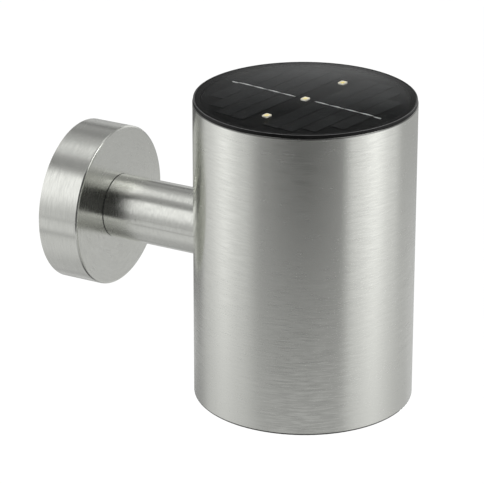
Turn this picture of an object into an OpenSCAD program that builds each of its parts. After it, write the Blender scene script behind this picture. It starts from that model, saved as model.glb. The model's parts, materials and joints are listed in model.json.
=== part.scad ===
// Solar wall light: a brushed steel cylinder on an arm and a round wall rosette, in millimetres.
// The wall is the plane y = 0 and the arm's axis is the line x = 0, z = 0. The lamp stands off
// towards -Y and +Z is up. A solar head lifts out of the cylinder's top and turns about its axis.

/* [Lamp body] */
// Outer diameter of the steel shell
shell_d = 100; // [98:1:120]
// Height of the steel shell from its foot to its top edge
shell_h = 140; // [130:1:180]
// Thickness of the shell's sheet
shell_wall = 1.2; // [0.8:0.1:1.6]
// Width of the lip turned in at the foot, measured from the outer face
foot_lip_w = 4; // [3:0.5:6]
// Rounding of the shell's lower outer corner
foot_r = 0.8; // [0.4:0.1:1]
// Chamfer on the shell's top outer edge
top_chamfer = 0.2; // [0.1:0.1:0.4]
// Height of the arm's axis above the foot
arm_height = 72; // [60:1:80]
// Thickness of the light diffuser in the foot
diffuser_t = 3; // [2:0.5:4]
// Radial gap between the diffuser and the shell
diffuser_gap = 0.4; // [0.2:0.1:0.8]
// Thickness of the gasket under the diffuser
diffuser_gasket_t = 0.8; // [0.5:0.1:1.5]
// Wire diameter of the ring that holds the diffuser down
ring_wire_d = 1.6; // [1:0.1:2]
// Angle of the gap in that ring
ring_split = 18; // [8:1:40]

/* [Arm] */
// Outer diameter of the arm tube
arm_d = 30; // [26:1:34]
// Wall of the arm tube
arm_wall = 1.5; // [1:0.1:2.5]
// Distance from the rosette's face to the axis of the lamp body
arm_reach = 97.5; // [85:0.5:130]
// Thickness of the black gasket between arm and rosette
arm_gasket_t = 0.3; // [0.3:0.1:1.5]
// Step of that gasket in from the arm's outer face
arm_gasket_inset = 0.1; // [0.1:0.1:0.5]
// Thickness of the discs that centre the tie rod in the arm
disc_t = 4; // [3:0.5:8]
// Radial gap between those discs and the tube
disc_gap = 0.1; // [0.05:0.05:0.3]
// Diameter of the threaded tie rod
rod_d = 6; // [5:1:6]
// Length of rod that stands past each nut
rod_tail = 2; // [1:0.5:3]
// Width across flats of the tie rod's nuts
nut_af = 10; // [9:0.5:13]
// Thickness of those nuts
nut_t = 5; // [4:0.5:6]
// Diameter of the washers under the nuts
washer_d = 14; // [13:1:18]
// Thickness of those washers
washer_t = 1.6; // [1:0.2:2]
// Width and height of the saddle block inside the shell
saddle_w = 24; // [20:1:28]
// Thickness of the saddle block at its middle
saddle_t = 3.8; // [3:0.2:5]

/* [Wall rosette and bracket] */
// Outer diameter of the rosette
rosette_d = 75; // [72:1:90]
// Depth of the rosette from the wall to its face
rosette_depth = 20.5; // [19:0.5:28]
// Wall of the rosette
rosette_wall = 1.5; // [1.2:0.1:2]
// Rounding of the rosette's front edge
rosette_edge_r = 1; // [0.5:0.1:1.4]
// Width of the bracket strip
bracket_w = 22; // [18:1:26]
// Thickness of the bracket strip
bracket_t = 2; // [1.5:0.5:2.5]
// Distance between the two wall screw holes
wall_screw_spacing = 45; // [38:1:48]
// Diameter of the wall screw holes
wall_screw_hole_d = 5.2; // [4.2:0.1:6]
// Width of the bracket's two ears
ear_w = 12; // [10:1:15]
// Distance that the ears reach out from the wall
ear_reach = 12; // [11:0.5:14]
// Radial gap between the ears' corners and the rosette
ear_gap = 0.4; // [0.3:0.1:0.8]
// Height of the upturned lip on the top ear
hook_h = 4; // [3:0.5:5]
// Width of the rosette's lug that hangs on the top ear
lug_w = 8; // [6:1:10]
// Thickness of that lug
lug_t = 2.5; // [2:0.5:3]
// Gap all round the lug on the ear
lug_gap = 0.3; // [0.2:0.1:0.5]
// Diameter of the screw that fixes the rosette to the lower ear
rosette_screw_d = 4; // [3:0.5:4]
// Length of that screw's shank
rosette_screw_l = 8; // [6:1:10]
// Distance of that screw in from the ear's front edge
rosette_screw_inset = 5; // [4:0.5:6]

/* [Solar head] */
// Step of the bezel in from the shell's outer face
bezel_inset = 0.3; // [0.1:0.1:0.8]
// Height of the bezel above the shell's top edge
bezel_rise = 1.6; // [1.5:0.1:2.4]
// Thickness of the bezel's lip round the glass
bezel_lip_t = 0.5; // [0.4:0.1:0.8]
// Gap between the bezel and the shell's top edge
seat_gap = 0.2; // [0.1:0.1:0.3]
// Depth of the head's skirt below the shell's top edge
head_depth = 24; // [24:1:30]
// Radial gap between the skirt and the shell
skirt_gap = 0.2; // [0.15:0.05:0.4]
// Wall of the skirt
skirt_wall = 3; // [2.8:0.1:3.4]
// Chamfer on the skirt's lower outer edge
skirt_chamfer = 0.6; // [0.3:0.1:1]
// Wall round the pocket that holds the solar board
pocket_wall = 2; // [1.5:0.1:2.4]
// Thickness of the tray's floor under the solar board
floor_t = 1.8; // [1.2:0.1:2.5]
// Section diameter of the sealing ring
seal_d = 2.24; // [1.8:0.02:2.4]
// Gap drawn between the sealing ring and its two walls
seal_fit = 0.08; // [0.05:0.01:0.1]
// Spare width of the groove beside the ring, on each side
groove_spare = 0.3; // [0.2:0.1:0.6]
// Height of the ring above the skirt's lower edge
seal_height = 8; // [5:0.5:10]
// Turn of the solar head about the lamp's axis, in degrees
head_turn = -8.5; // [-180:0.5:180]

/* [Solar panel] */
// Thickness of the cover glass
glass_t = 0.8; // [0.6:0.1:0.9]
// Depth of the glass below the bezel's lip
glass_recess = 0.1; // [0.05:0.05:0.2]
// Width of the glue line round the glass
glue_gap = 0.25; // [0.15:0.05:0.4]
// Thickness of the solar board
board_t = 1.2; // [0.8:0.1:1.6]
// Radial gap round the solar board
board_gap = 0.2; // [0.1:0.1:0.5]
// Strips of solar cell on each side of the middle
cell_rows = 4; // [2:1:4]
// Distance from one strip to the next
cell_pitch = 8; // [6:0.5:8.5]
// Gap between neighbouring strips
cell_gap = 0.4; // [0.2:0.1:1]
// Distance of the first strip from the middle
cell_start = 5.4; // [4:0.1:6]
// Longest length of a strip
cell_l_max = 76; // [60:1:80]
// Thickness of a strip
cell_t = 0.3; // [0.2:0.05:0.4]
// Bare edge of the board outside the strips
cell_margin = 3.4; // [2.5:0.1:5]
// Width of the silver bus ribbon
ribbon_w = 1; // [0.6:0.1:2]
// Thickness of the bus ribbon
ribbon_t = 0.15; // [0.1:0.05:0.2]
// Length of the ribbon's tab outside the last strip
ribbon_tab_l = 3.4; // [2:0.2:4]
// Distance from the middle lamp chip to each outer one
led_spacing = 28; // [20:1:36]
// Length of a lamp chip
led_l = 3.5; // [2.8:0.1:5]
// Width of a lamp chip
led_w = 2.8; // [2:0.1:5]
// Thickness of a lamp chip
led_t = 0.7; // [0.6:0.05:0.8]
// Gap between the lamp chips and the glass
led_headroom = 0.15; // [0.1:0.05:0.3]

/* [Battery] */
// Diameter of the battery cell
battery_d = 18.4; // [14:0.1:18.6]
// Distance of the battery's axis from the lamp's axis
battery_offset = 14.5; // [14:0.5:16]
// Gap between the battery and its holder
battery_gap = 0.3; // [0.2:0.1:0.4]
// Least thickness of the holder under the battery
holder_floor = 1.5; // [1:0.1:1.8]
// Thickness of the holder's end walls
holder_wall = 1.5; // [1:0.1:2]
// Width of the holder
holder_w = 20.4; // [20:0.1:21]
// Gap between the holder's outer corners and the skirt
holder_gap = 2.35; // [1.5:0.05:4]
// Depth of the cradle's edges below the battery's axis
cradle_drop = 3; // [2:0.5:6]
// Height of the end walls above the battery's axis
end_wall_rise = 2.8; // [1:0.2:4]
// Space for the contact at each end of the battery
contact_space = 1.5; // [1.2:0.1:1.8]
// Thickness of the contact plates
contact_t = 0.4; // [0.3:0.1:0.6]
// Width of the contact plates
contact_w = 8; // [6:1:9]

/* [Control board] */
// Length of the control board
pcb_l = 56; // [54:1:58]
// Width of the control board
pcb_w = 24; // [24:1:26]
// Thickness of the control board
pcb_t = 1.6; // [1:0.2:2]
// Diameter of the coil on that board
coil_d = 7; // [5:0.5:8]
// Height of the coil
coil_h = 4; // [3:0.5:5]
// Diameter of the capacitor
capacitor_d = 6.3; // [4:0.1:8]
// Height of the capacitor
capacitor_h = 7.7; // [5:0.1:8]
// Distance of the board's near edge from the middle
pcb_edge = 0; // [0:0.5:1]
// Height of the posts that carry the board
post_h = 4; // [4:0.5:6]
// Diameter of those posts
post_d = 5; // [4.4:0.2:6]
// Distance of the posts in from the board's ends
post_inset_x = 3.5; // [3:0.5:5]
// Distance of the posts in from the board's sides
post_inset_y = 3; // [3:0.5:4]

/* [Base cover and downlight] */
// Thickness of the base cover
cover_t = 2; // [1.6:0.2:3]
// Thickness of the gasket between skirt and cover
cover_gasket_t = 0.8; // [0.5:0.1:1.2]
// Step of the cover in from the skirt's outer face
cover_inset = 0.2; // [0.1:0.1:0.6]
// Diameter of the screw bosses in the tray
boss_d = 7; // [6:0.5:8]
// Diameter of the four cover screws
cover_screw_d = 3; // [2.5:0.1:3.2]
// Length of those screws' shanks
cover_screw_l = 10; // [8:1:14]
// Diameter of the small self-tapping screws
small_screw_d = 2.2; // [2:0.1:2.5]
// Length of those screws' shanks
small_screw_l = 5; // [4:0.5:5]
// Height of the cover's inner bosses for the small screws
small_boss_h = 3.4; // [3:0.1:3.8]
// Diameter of those bosses
small_boss_d = 5.6; // [5:0.1:6]
// Gap between the lens's flange and the switch's nut
lens_gap = 3.6; // [2:0.2:5]
// Depth of the lens below the cover
lens_depth = 8.2; // [7:0.2:14]
// Wall of the lens
lens_wall = 1.5; // [1:0.1:2]
// Rounding of the lens's lower corner
lens_corner_r = 5; // [3:0.5:6]
// Width of the lens's flange
lens_flange_w = 6; // [5.5:0.5:7]
// Thickness of the lens's flange
lens_flange_t = 1.8; // [1.2:0.1:2.4]
// Radial gap between the downlight's lamp board and the lens
down_board_gap = 1.5; // [0.5:0.1:3]
// Thickness of that board
down_board_t = 1.6; // [1:0.2:2]
// Lamp chips on that board
down_led_count = 6; // [4:1:10]
// Diameter of the circle that they lie on
down_led_circle = 26; // [20:1:30]
// Distance of the lamp board's screws in from its edge
down_screw_inset = 3.5; // [3:0.5:5]

/* [Switch] */
// Diameter of the switch's case
switch_d = 10; // [9:0.5:10]
// Height of the switch's case above the cover
switch_h = 10; // [9:0.5:12]
// Diameter of the switch's neck
neck_d = 7; // [6.6:0.1:7.4]
// Length of the neck below the cover
neck_l = 3.7; // [3:0.1:5]
// Width across flats of the neck's nut
neck_nut_af = 10; // [9:0.5:10]
// Thickness of that nut
neck_nut_t = 2; // [1.5:0.1:2.5]
// Diameter of the push button
button_d = 5; // [4:0.1:5]
// Length of the button that stands out of the neck
button_proud = 2; // [1.6:0.1:3]
// Travel of the button
button_travel = 1.5; // [1:0.1:1.6]
// Running clearance round the button
button_fit = 0.08; // [0.05:0.01:0.1]

/* [Hidden] */
$fn = 96;
eps = 0.01;

// Radial clearance of a plain hole round a screw or rod
hole_clear = 0.2;
// Radial clearance drawn where a thread grips
thread_clear = 0.05;

// Body
shell_r = shell_d / 2;
shell_in_r = shell_r - shell_wall;
body_y = rosette_depth + arm_reach;
foot_z = -arm_height;
top_z = foot_z + shell_h;
foot_in_z = foot_z + shell_wall;
foot_open_r = shell_r - foot_lip_w;
diffuser_r = shell_in_r - diffuser_gap;
diffuser_z = foot_in_z + diffuser_gasket_t;
ring_z = diffuser_z + diffuser_t;

// Arm, as distances out from the wall
rosette_in_y = rosette_depth - rosette_wall;
arm_start_y = rosette_depth + arm_gasket_t;
arm_r = arm_d / 2;
disc_r = arm_r - arm_wall - disc_gap;
rod_hole_r = rod_d / 2 + hole_clear;
saddle_y = body_y - shell_in_r + saddle_t;
body_nut_y = saddle_y + washer_t;
rosette_nut_y = rosette_in_y - washer_t - nut_t;
rod_start_y = rosette_nut_y - rod_tail;
rod_end_y = body_nut_y + nut_t + rod_tail;

// Rosette and bracket
rosette_r = rosette_d / 2;
rosette_in_r = rosette_r - rosette_wall;
ear_z = sqrt(pow(rosette_in_r - ear_gap, 2) - pow(ear_w / 2, 2));
hook_z = ear_z - hook_h;
lug_z = hook_z + lug_gap;
lug_y = ear_reach - bracket_t - lug_gap - lug_t;
rosette_screw_y = ear_reach - rosette_screw_inset;

// Head, as heights
bezel_r = shell_r - bezel_inset;
bezel_z = top_z + bezel_rise;
flange_z = top_z + seat_gap;
glass_z = bezel_z - glass_recess - glass_t;
glass_pocket_r = bezel_r - bezel_lip_t;
glass_r = glass_pocket_r - glue_gap;
skirt_r = shell_in_r - skirt_gap;
skirt_in_r = skirt_r - skirt_wall;
skirt_z = top_z - head_depth;
seal_r = shell_in_r - seal_fit - seal_d / 2;
seal_z = skirt_z + seal_height;
groove_r = seal_r - seal_d / 2 - seal_fit;
groove_h = seal_d + 2 * groove_spare;
board_pocket_r = skirt_r - pocket_wall;
board_r = board_pocket_r - board_gap;
board_z = glass_z - led_headroom - led_t - board_t;
board_top_z = board_z + board_t;
floor_z = board_z - floor_t;
cell_w = cell_pitch - cell_gap;
cell_field_r = board_r - cell_margin;

// Base cover and what hangs under it
cover_r = skirt_r - cover_inset;
cover_top_z = skirt_z - cover_gasket_t;
cover_z = cover_top_z - cover_t;
boss_r = skirt_in_r - boss_d / 2 + eps;
COVER_SCREW_ANGLES = [30, 150, 250, 290];
LENS_SCREW_ANGLES = [30, 150, 270];
switch_y = skirt_in_r - switch_d / 2 - 1;
lens_flange_r = switch_y - neck_nut_af / 2 - lens_gap;
lens_r = lens_flange_r - lens_flange_w;
lens_screw_r = (lens_r + lens_flange_r) / 2;
down_board_r = lens_r - lens_wall - down_board_gap;
down_screw_x = down_board_r - down_screw_inset;
// The downlight's lead goes through the cover between the lamp board's left screw and its middle
lead_screw_gap = 5.5;
lead_hole_x = lead_screw_gap - down_screw_x;
lead_hole_y = -2.2;
neck_z = cover_z - neck_l;
button_z = neck_z - button_proud;
// Height of the step in the switch above the cover's top, and the button's collar over it
switch_step = 0.2;
collar_gap = 0.3;
collar_r = neck_d / 2 - hole_clear;
collar_t = 1;
collar_z = cover_top_z + switch_step + collar_gap;
button_top_z = collar_z + collar_t + 1;

// Battery and control board
battery_z = cover_top_z + holder_floor + battery_gap + battery_d / 2;
holder_l = 2 * sqrt(pow(skirt_in_r - holder_gap, 2) - pow(battery_offset + holder_w / 2, 2));
contact_x = holder_l / 2 - holder_wall;
battery_l = 2 * (contact_x - contact_space);
pcb_z = cover_top_z + post_h;
pcb_y = pcb_edge + pcb_w / 2;
pcb_top_z = pcb_z + pcb_t;
post_x = pcb_l / 2 - post_inset_x;
post_y = pcb_w / 2 - post_inset_y;
connector_offset = 8;
connector_y = pcb_y + connector_offset;
CONNECTOR_X = [-18, -6, 6, 18];
connector_size = [6, 5, 6];
coil_at = [-13, 8];
capacitor_at = [15, 8];
// Chips, diodes and resistors: the place of each and its size
BOARD_BLOCKS = [
    [[2, 6], [5, 4, 1.6]], [[-4, 6], [3, 3, 1.2]], [[22, 10], [4.4, 2.6, 2.2]],
    [[-22, 10], [4.4, 2.6, 2.2]], [[8, 3], [2, 1.2, 0.6]], [[8, 9], [2, 1.2, 0.6]], [[-4, 11], [2, 1.2, 0.6]]
];

// Leads inside the head, from points measured from the lamp's axis and the shell's top edge
lead_d = 2.2;
wire_d = 1.6;
panel_hole = [18, 30];
PANEL_ROUTE = [[18, 30, -1.35], [18, 30, -5], [18, 27, -8.5], [18, 21, -9.5], [18, 20, -13.2]];
PLUS_ROUTE = [
    [contact_x, -battery_offset, -8.5], [contact_x + 2.5, -battery_offset, -8.5],
    [contact_x + 3.5, -6, -8.5], [contact_x + 1, 3, -8.5],
    [24, 12, -7.5], [10, 18.5, -8], [7.2, 20, -10.5], [7.2, 20, -13.2]
];
MINUS_ROUTE = [
    [-contact_x, -battery_offset, -8.5], [-contact_x - 2.5, -battery_offset, -8.5],
    [-contact_x - 3.5, -6, -8.5], [-contact_x - 1, 3, -8.5],
    [-22, 10, -6.5], [1, 18, -7.5], [4.8, 20, -10.5], [4.8, 20, -13.2]
];
DOWNLIGHT_ROUTE = [
    [lead_hole_x, lead_hole_y, -26.8], [lead_hole_x, lead_hole_y, -20], [lead_hole_x, lead_hole_y, -14],
    [-14, 2, -10.5], [-17, 14, -9.5], [-18, 20, -10.5], [-18, 20, -13.2]
];
SWITCH_ROUTE = [
    [0, 39.5, -14.8], [0, 39.5, -11], [-1.5, 36, -8.5], [-5, 26, -8], [-6, 20, -10], [-6, 20, -13.2]
];
lead_sides = 8;
lead_steps = 2;

// Turns a shape made along +Z, from the wall outwards, to stand out along -Y
module from_wall(y = 0) {
    rotate([90, 0, 0]) translate([0, 0, y]) children();
}

// Places a shape on the lamp body's axis
module at_body(z = 0) {
    translate([0, -body_y, z]) children();
}

// Places a shape in the solar head, which is turned about the lamp's axis
module in_head(z = 0) {
    at_body(z) rotate([0, 0, head_turn]) children();
}

module tube(r, in_r, h) {
    difference() {
        cylinder(r = r, h = h);
        translate([0, 0, -eps]) cylinder(r = in_r, h = h + 2 * eps);
    }
}

module hex_nut(af, h, bore_r) {
    difference() {
        cylinder(r = af / 2 / cos(30), h = h, $fn = 6);
        translate([0, 0, -eps]) cylinder(r = bore_r, h = h + 2 * eps);
    }
}

// A pan-head screw with a cross recess: the seat is at z = 0 and the shank points down
module pan_screw(d, l) {
    head_r = d * 0.95;
    head_h = d * 0.6;
    slot_w = d * 0.22;
    slot_l = head_r * 1.1;
    difference() {
        union() {
            cylinder(r = head_r, h = head_h * 0.6);
            translate([0, 0, head_h * 0.6]) cylinder(r1 = head_r, r2 = head_r * 0.72, h = head_h * 0.4);
            translate([0, 0, -l]) cylinder(r = d / 2, h = l + eps);
        }
        for (a = [0, 90]) rotate([0, 0, a])
            translate([-slot_l / 2, -slot_w / 2, head_h * 0.4]) cube([slot_l, slot_w, head_h]);
    }
}

// A half section of a round cup that is closed at z = h, with its outer corner rounded
module cup_section(r, h, corner) {
    square([r - corner, h]);
    square([r, h - corner]);
    translate([r - corner, h - corner]) intersection() {
        circle(corner);
        square(corner);
    }
}

// A cube centred on x and y that stands on z = 0
module block(size) {
    translate([-size[0] / 2, -size[1] / 2, 0]) cube(size);
}

// A point on a smooth curve through four neighbouring points
function curve_point(a, b, c, d, t) =
    0.5 * (2 * b + (c - a) * t + (2 * a - 5 * b + 4 * c - d) * t * t + (3 * b - a - 3 * c + d) * t * t * t);

// A route's points with lead_steps curve points for each of its stretches
function smooth(route) = [
    for (i = [0 : len(route) - 2], s = [0 : lead_steps - 1])
        curve_point(route[max(i - 1, 0)], route[i], route[i + 1],
            route[min(i + 2, len(route) - 1)], s / lead_steps),
    route[len(route) - 1]
];

function unit(v) = v / norm(v);

// Direction of a lead at its point i: at both ends it is that of the route's own last stretch
function heading(route, p, i) =
    i == 0 ? unit(route[1] - route[0]) :
    i == len(p) - 1 ? unit(route[len(route) - 1] - route[len(route) - 2]) :
    unit(p[i + 1] - p[i - 1]);

// A round lead along a route, with its rings set square to it about the given side direction
module lead(route, d, side) {
    p = smooth(route);
    n = lead_sides;
    rings = [
        for (i = [0 : len(p) - 1])
            let (along = heading(route, p, i), u = unit(cross(along, side)), v = cross(along, u))
                for (k = [0 : n - 1]) p[i] + d / 2 * (cos(360 * k / n) * u + sin(360 * k / n) * v)
    ];
    walls = [
        for (i = [0 : len(p) - 2], k = [0 : n - 1])
            [i * n + k, i * n + (k + 1) % n, (i + 1) * n + (k + 1) % n, (i + 1) * n + k]
    ];
    near_end = [for (k = [0 : n - 1]) n - 1 - k];
    far_end = [for (k = [0 : n - 1]) (len(p) - 1) * n + k];
    polyhedron(points = rings, faces = concat(walls, [near_end, far_end]));
}

// Steel strip screwed to the wall, with a hook ear at the top and a tapped ear at the foot
module wall_bracket() {
    color("silver") difference() {
        union() {
            intersection() {
                translate([-bracket_w / 2, -bracket_t, -ear_z]) cube([bracket_w, bracket_t, ear_z + hook_z]);
                from_wall() cylinder(r = rosette_in_r - ear_gap, h = bracket_t);
            }
            translate([-ear_w / 2, -ear_reach, -ear_z]) cube([ear_w, ear_reach, bracket_t]);
            translate([-ear_w / 2, -ear_reach, hook_z - bracket_t]) cube([ear_w, ear_reach, bracket_t]);
            translate([-ear_w / 2, -ear_reach, hook_z - bracket_t]) cube([ear_w, bracket_t, hook_h + bracket_t]);
        }
        for (side = [-1, 1]) translate([0, eps, side * wall_screw_spacing / 2])
            rotate([90, 0, 0]) cylinder(r = wall_screw_hole_d / 2, h = bracket_t + 2 * eps);
        translate([0, -rosette_screw_y, -ear_z - eps])
            cylinder(r = rosette_screw_d / 2 + thread_clear, h = bracket_t + 2 * eps);
    }
}

// Round steel cup that hides the bracket
module rosette() {
    color("silver") difference() {
        union() {
            from_wall() rotate_extrude() difference() {
                cup_section(rosette_r, rosette_depth, rosette_edge_r);
                square([rosette_in_r, rosette_in_y]);
            }
            translate([-lug_w / 2, -lug_y - lug_t, lug_z])
                cube([lug_w, lug_t, rosette_in_r + rosette_wall / 2 - lug_z]);
        }
        from_wall(rosette_in_y - eps) cylinder(r = rod_hole_r, h = rosette_wall + 2 * eps);
        translate([0, -rosette_screw_y, -rosette_r - eps])
            cylinder(r = rosette_screw_d / 2 + hole_clear, h = rosette_wall * 2);
    }
}

module rosette_screw() {
    color("dimgray") translate([0, -rosette_screw_y, -rosette_r])
        rotate([180, 0, 0]) pan_screw(rosette_screw_d, rosette_screw_l);
}

module rosette_washer() {
    color("gainsboro") from_wall(rosette_in_y - washer_t) tube(washer_d / 2, rod_hole_r, washer_t);
}

module rosette_nut() {
    color("gainsboro") from_wall(rosette_nut_y) hex_nut(nut_af, nut_t, rod_d / 2 + thread_clear);
}

module arm_gasket() {
    color("black") from_wall(rosette_depth) tube(arm_r - arm_gasket_inset, rod_hole_r, arm_gasket_t);
}

// Arm tube, cut to saddle on the shell
module arm_tube() {
    color("silver") difference() {
        from_wall(arm_start_y) tube(arm_r, arm_r - arm_wall, arm_reach);
        at_body(-arm_d) cylinder(r = shell_r, h = 2 * arm_d);
    }
}

module wall_end_disc() {
    color("dimgray") from_wall(arm_start_y) tube(disc_r, rod_hole_r, disc_t);
}

// Centring disc at the lamp's end of the arm, with its outer face curved to the shell
module body_end_disc() {
    color("dimgray") difference() {
        from_wall(body_y - shell_r - disc_t) tube(disc_r, rod_hole_r, disc_t + shell_r);
        at_body(-arm_d) cylinder(r = shell_r, h = 2 * arm_d);
    }
}

module tie_rod() {
    color("gainsboro") from_wall(rod_start_y) cylinder(r = rod_d / 2, h = rod_end_y - rod_start_y);
}

// Block inside the shell, curved to it on one side and flat under the washer
module saddle_block() {
    color("gray") difference() {
        intersection() {
            translate([-saddle_w / 2, -saddle_y, -saddle_w / 2]) cube([saddle_w, saddle_w, saddle_w]);
            at_body(-saddle_w / 2) cylinder(r = shell_in_r, h = saddle_w);
        }
        from_wall(body_y - shell_r) cylinder(r = rod_hole_r, h = saddle_t + 2 * shell_wall);
    }
}

module body_washer() {
    color("gainsboro") from_wall(saddle_y) tube(washer_d / 2, rod_hole_r, washer_t);
}

module body_nut() {
    color("gainsboro") from_wall(body_nut_y) hex_nut(nut_af, nut_t, rod_d / 2 + thread_clear);
}

// Brushed steel shell: one sheet with a lip turned in at the foot, open at the top
module shell() {
    color("silver") difference() {
        at_body() rotate_extrude() difference() {
            polygon([
                [foot_open_r, foot_z], [shell_r, foot_z], [shell_r, top_z - top_chamfer],
                [shell_r - top_chamfer, top_z], [shell_in_r, top_z], [shell_in_r, foot_in_z],
                [foot_open_r, foot_in_z]
            ]);
            translate([shell_r - foot_r, foot_z + foot_r]) difference() {
                translate([0, -2 * foot_r]) square(2 * foot_r);
                circle(foot_r);
            }
        }
        from_wall(body_y - shell_r - 1) cylinder(r = rod_hole_r, h = shell_wall + 2);
    }
}

module diffuser_gasket() {
    color("black") at_body(foot_in_z) tube(diffuser_r, foot_open_r + 0.5, diffuser_gasket_t);
}

module diffuser() {
    color("white", 0.7) at_body(diffuser_z) cylinder(r = diffuser_r, h = diffuser_t);
}

// Split spring ring of round wire that presses the diffuser on its gasket
module diffuser_ring() {
    color("gainsboro") at_body(ring_z + ring_wire_d / 2) rotate([0, 0, ring_split / 2 - 90])
        rotate_extrude(angle = 360 - ring_split)
            translate([shell_in_r - thread_clear - ring_wire_d / 2, 0]) circle(ring_wire_d / 2);
}

// Rubber sealing ring in the skirt's groove
module head_seal() {
    color("black") in_head(seal_z) rotate_extrude() translate([seal_r, 0]) circle(seal_d / 2);
}

// Black tray that carries everything in the head: bezel, floor, skirt and four screw bosses
module head_tray() {
    color([0.1, 0.1, 0.1]) in_head() difference() {
        union() {
            rotate_extrude() difference() {
                union() {
                    polygon([
                        [0, floor_z], [skirt_in_r, floor_z], [skirt_in_r, skirt_z],
                        [skirt_r - skirt_chamfer, skirt_z], [skirt_r, skirt_z + skirt_chamfer],
                        [skirt_r, flange_z], [bezel_r, flange_z], [bezel_r, bezel_z - bezel_lip_t / 2],
                        [glass_pocket_r, bezel_z - bezel_lip_t / 2], [glass_pocket_r, glass_z],
                        [board_pocket_r, glass_z], [board_pocket_r, board_z], [0, board_z]
                    ]);
                    translate([bezel_r - bezel_lip_t / 2, bezel_z - bezel_lip_t / 2]) circle(bezel_lip_t / 2);
                }
                translate([groove_r, seal_z - groove_h / 2]) square([skirt_r, groove_h]);
            }
            for (a = COVER_SCREW_ANGLES) rotate([0, 0, a]) translate([boss_r, 0, cover_top_z])
                cylinder(r = boss_d / 2, h = floor_z - cover_top_z + eps);
        }
        for (a = COVER_SCREW_ANGLES) rotate([0, 0, a]) translate([boss_r, 0, cover_top_z - eps])
            cylinder(r = cover_screw_d / 2 + thread_clear, h = cover_screw_l);
        translate([panel_hole[0], panel_hole[1], floor_z - eps])
            cylinder(r = lead_d / 2 + 2 * hole_clear, h = floor_t + 2 * eps);
    }
}

module solar_glass() {
    color([0.05, 0.05, 0.07], 0.5) in_head(glass_z) cylinder(r = glass_r, h = glass_t);
}

module solar_board() {
    color([0.06, 0.06, 0.06]) in_head(board_z) cylinder(r = board_r, h = board_t);
}

// Length of the strip in a row, so that its outer corners stay on the board's field
function cell_l(row) =
    min(cell_l_max, 2 * sqrt(pow(cell_field_r, 2) - pow(cell_start + row * cell_pitch + cell_w, 2)));

function cell_y(row) = cell_start + row * cell_pitch + cell_w / 2;

module cell_strips() {
    color([0.08, 0.08, 0.12]) in_head(board_top_z)
        for (side = [-1, 1], row = [0 : cell_rows - 1])
            translate([0, side * cell_y(row), 0]) block([cell_l(row), cell_w, cell_t]);
}

// Silver ribbon across the strips, one piece on each, and a tab on the board outside the last
module bus_ribbons() {
    tab_y = cell_y(cell_rows - 1) + cell_w / 2 + cell_gap + ribbon_tab_l / 2;
    color("white") in_head(board_top_z) for (side = [-1, 1]) {
        for (row = [0 : cell_rows - 1]) translate([0, side * cell_y(row), cell_t])
            block([ribbon_w, cell_w, ribbon_t]);
        translate([0, side * tab_y, 0]) block([ribbon_w, ribbon_tab_l, cell_t]);
    }
}

module top_leds() {
    color("khaki") in_head(board_top_z) for (i = [-1 : 1])
        translate([i * led_spacing, 0, 0]) block([led_l, led_w, led_t]);
}

module cover_gasket() {
    color("black") in_head(cover_top_z) difference() {
        tube(cover_r, skirt_in_r, cover_gasket_t);
        for (a = COVER_SCREW_ANGLES) rotate([0, 0, a]) translate([boss_r, 0, -eps])
            cylinder(r = boss_d / 2 + hole_clear, h = cover_gasket_t + 2 * eps);
    }
}

// Cover that closes the head from below and carries battery, boards, lens and switch
module base_cover() {
    color([0.12, 0.12, 0.12]) in_head() difference() {
        union() {
            translate([0, 0, cover_z]) cylinder(r = cover_r, h = cover_t);
            for (x = [-1, 1], y = [-1, 1])
                translate([x * post_x, pcb_y + y * post_y, cover_top_z - eps])
                    cylinder(r = post_d / 2, h = post_h + eps);
            small_screw_places(cover_top_z - eps) cylinder(r = small_boss_d / 2, h = small_boss_h + eps);
        }
        for (x = [-1, 1], y = [-1, 1])
            translate([x * post_x, pcb_y + y * post_y, pcb_z - small_screw_l])
                cylinder(r = small_screw_d / 2 + thread_clear, h = small_screw_l + eps);
        small_screw_places(cover_z - eps)
            cylinder(r = small_screw_d / 2 + thread_clear, h = small_screw_l);
        for (a = COVER_SCREW_ANGLES) rotate([0, 0, a]) translate([boss_r, 0, cover_z - eps])
            cylinder(r = cover_screw_d / 2 + hole_clear, h = cover_t + 2 * eps);
        translate([lead_hole_x, lead_hole_y, cover_z - eps])
            cylinder(r = lead_d / 2 + hole_clear, h = cover_t + 2 * eps);
        translate([0, switch_y, cover_z - eps])
            cylinder(r = neck_d / 2 + hole_clear, h = cover_t + 2 * eps);
    }
}

// The places under the cover that take a small screw: two for the lamp board, three for the lens
module small_screw_places(z) {
    for (side = [-1, 1]) translate([side * down_screw_x, 0, z]) children();
    for (a = LENS_SCREW_ANGLES) rotate([0, 0, a]) translate([lens_screw_r, 0, z]) children();
}

module cover_screws() {
    color("gainsboro") in_head(cover_z) for (a = COVER_SCREW_ANGLES)
        rotate([0, 0, a]) translate([boss_r, 0, 0]) rotate([180, 0, 0]) pan_screw(cover_screw_d, cover_screw_l);
}

// Cradle for the battery, cut clear of the cover's bosses where they reach it
module battery_holder() {
    color("dimgray") in_head() difference() {
        translate([0, -battery_offset, 0]) {
            translate([0, 0, cover_top_z])
                block([holder_l, holder_w, battery_z - cradle_drop - cover_top_z]);
            for (side = [-1, 1]) translate([side * (contact_x + holder_wall / 2), 0, cover_top_z])
                block([holder_wall, holder_w, battery_z + end_wall_rise - cover_top_z]);
        }
        translate([-contact_x, -battery_offset, battery_z]) rotate([0, 90, 0])
            cylinder(r = battery_d / 2 + battery_gap, h = 2 * contact_x);
        small_screw_places(cover_top_z - eps)
            cylinder(r = small_boss_d / 2 + hole_clear, h = small_boss_h + hole_clear);
    }
}

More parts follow.
